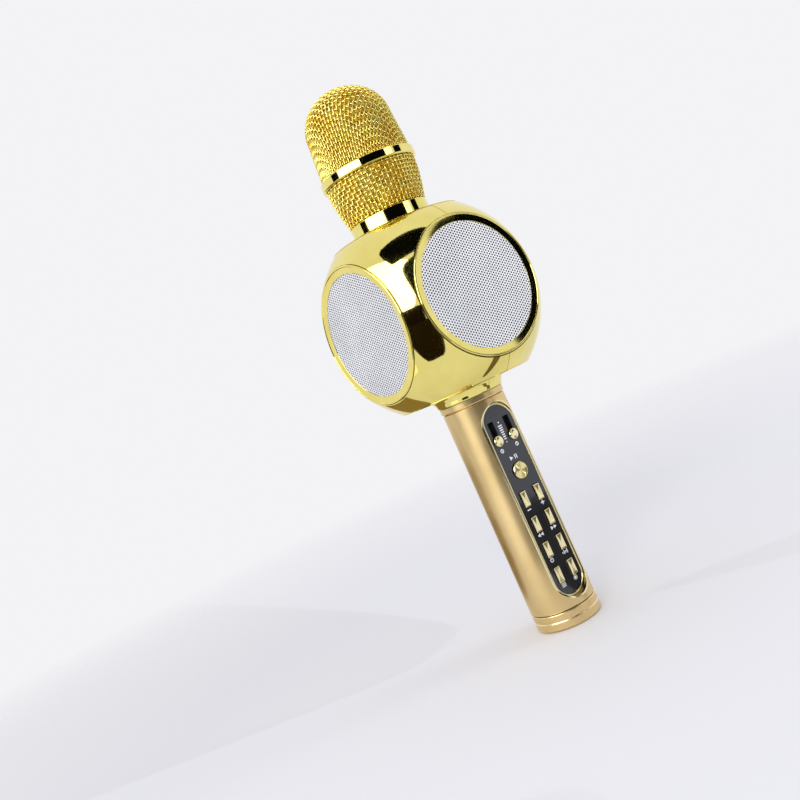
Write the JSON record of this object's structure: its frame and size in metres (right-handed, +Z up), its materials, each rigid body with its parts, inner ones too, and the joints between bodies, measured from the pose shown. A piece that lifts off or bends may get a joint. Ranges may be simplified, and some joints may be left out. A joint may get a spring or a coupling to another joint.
{
  "type": "karaoke microphone",
  "caption": "Hand-held karaoke microphone: woven wire grille over a gold ball-shaped speaker head with round perforated grilles, on a slim round handle with a key panel and sliders.",
  "frame": {"origin": "centre of the flat base, on the surface it stands on", "axes": "+Z up the microphone's axis to the crown of the wire grille, -Y out of the key panel, +X to the right of the panel as its reader sees it"},
  "size_m": [0.0808, 0.0808, 0.275],
  "materials": {
    "polished_gold_plastic": "vacuum-metallised gold, mirror polished",
    "satin_gold_aluminium": "anodised champagne gold, satin",
    "gold_wire_mesh": "gold-lacquered woven steel wire",
    "perforated_metal": "silver-white perforated sheet",
    "panel_black": "smooth black",
    "black_plastic": "moulded",
    "cone_paper": "pressed black pulp",
    "ferrite": "sintered, dark grey",
    "board_green": "solder-masked laminate",
    "steel": "bright zinc plated",
    "cell_wrap": "shrink-wrapped metal can",
    "silicone": "moulded silicone",
    "foam": "open-cell foam"
  },
  "bodies": {
    "microphone_body": {"amplifier_board": "board_green", "base_cap": "satin_gold_aluminium", "bass_diaphragm_back": "cone_paper", "bass_diaphragm_front": "cone_paper", "battery_cell": "cell_wrap", "battery_cradle": "black_plastic", "board_screw_lower_left": "steel", "board_screw_lower_right": "steel", "board_screw_upper_left": "steel", "board_screw_upper_right": "steel", "capsule_mount": "silicone", "charge_board": "board_green", "charge_socket": "steel", "control_board": "board_green", "grille_socket": "black_plastic", "handle_tube": "satin_gold_aluminium", "head_shell_left": "polished_gold_plastic", "head_shell_right": "polished_gold_plastic", "key_membrane": "silicone", "microphone_capsule": "steel", "neck_collar": "satin_gold_aluminium", "panel_frame": "polished_gold_plastic", "panel_plate": "panel_black", "shell_screw_lower_back": "steel", "shell_screw_lower_front": "steel", "shell_screw_upper_back": "steel", "shell_screw_upper_front": "steel", "side_grille_back": "perforated_metal", "side_grille_front": "perforated_metal", "side_grille_left": "perforated_metal", "side_grille_right": "perforated_metal", "slide_pot_left": "black_plastic", "slide_pot_right": "black_plastic", "speaker_basket_left": "steel", "speaker_basket_right": "steel", "speaker_cone_left": "cone_paper", "speaker_cone_right": "cone_paper", "speaker_magnet_left": "ferrite", "speaker_magnet_right": "ferrite", "trim_ring_back": "polished_gold_plastic", "trim_ring_front": "polished_gold_plastic", "trim_ring_left": "polished_gold_plastic", "trim_ring_right": "polished_gold_plastic"},
    "wire_grille": {"grille_collar": "polished_gold_plastic", "grille_lower_mesh": "gold_wire_mesh", "grille_band": "polished_gold_plastic", "grille_upper_mesh": "gold_wire_mesh", "foam_windscreen": "foam"},
    "key_left_1": {"key_left_1": "polished_gold_plastic"},
    "key_left_2": {"key_left_2": "polished_gold_plastic"},
    "key_left_3": {"key_left_3": "polished_gold_plastic"},
    "key_left_4": {"key_left_4": "polished_gold_plastic"},
    "key_right_1": {"key_right_1": "polished_gold_plastic"},
    "key_right_2": {"key_right_2": "polished_gold_plastic"},
    "key_right_3": {"key_right_3": "polished_gold_plastic"},
    "key_right_4": {"key_right_4": "polished_gold_plastic"},
    "key_round": {"key_round": "polished_gold_plastic"},
    "slider_knob_left": {"slider_knob_left": "polished_gold_plastic"},
    "slider_knob_right": {"slider_knob_right": "polished_gold_plastic"}
  },
  "joints": [
    {"name": "grille_lift", "type": "slide", "parent": "microphone_body", "child": "wire_grille", "axis": [0, 0, 1], "range_m": [0, 0.075]},
    {"name": "key_left_1_press", "type": "slide", "parent": "microphone_body", "child": "key_left_1", "axis": [0, 1, 0], "range_m": [0, 0.0004], "stiffness_N_per_m": 600, "springref_m": -0.0005},
    {"name": "key_left_2_press", "type": "slide", "parent": "microphone_body", "child": "key_left_2", "axis": [0, 1, 0], "range_m": [0, 0.0004], "stiffness_N_per_m": 600, "springref_m": -0.0005},
    {"name": "key_left_3_press", "type": "slide", "parent": "microphone_body", "child": "key_left_3", "axis": [0, 1, 0], "range_m": [0, 0.0004], "stiffness_N_per_m": 600, "springref_m": -0.0005},
    {"name": "key_left_4_press", "type": "slide", "parent": "microphone_body", "child": "key_left_4", "axis": [0, 1, 0], "range_m": [0, 0.0004], "stiffness_N_per_m": 600, "springref_m": -0.0005},
    {"name": "key_right_1_press", "type": "slide", "parent": "microphone_body", "child": "key_right_1", "axis": [0, 1, 0], "range_m": [0, 0.0004], "stiffness_N_per_m": 600, "springref_m": -0.0005},
    {"name": "key_right_2_press", "type": "slide", "parent": "microphone_body", "child": "key_right_2", "axis": [0, 1, 0], "range_m": [0, 0.0004], "stiffness_N_per_m": 600, "springref_m": -0.0005},
    {"name": "key_right_3_press", "type": "slide", "parent": "microphone_body", "child": "key_right_3", "axis": [0, 1, 0], "range_m": [0, 0.0004], "stiffness_N_per_m": 600, "springref_m": -0.0005},
    {"name": "key_right_4_press", "type": "slide", "parent": "microphone_body", "child": "key_right_4", "axis": [0, 1, 0], "range_m": [0, 0.0004], "stiffness_N_per_m": 600, "springref_m": -0.0005},
    {"name": "key_round_press", "type": "slide", "parent": "microphone_body", "child": "key_round", "axis": [0, 1, 0], "range_m": [0, 0.0004], "stiffness_N_per_m": 600, "springref_m": -0.0005},
    {"name": "slider_left_travel", "type": "slide", "parent": "microphone_body", "child": "slider_knob_left", "axis": [0, 0, 1], "range_m": [0, 0.008]},
    {"name": "slider_right_travel", "type": "slide", "parent": "microphone_body", "child": "slider_knob_right", "axis": [0, 0, 1], "range_m": [0, 0.008]}
  ]
}
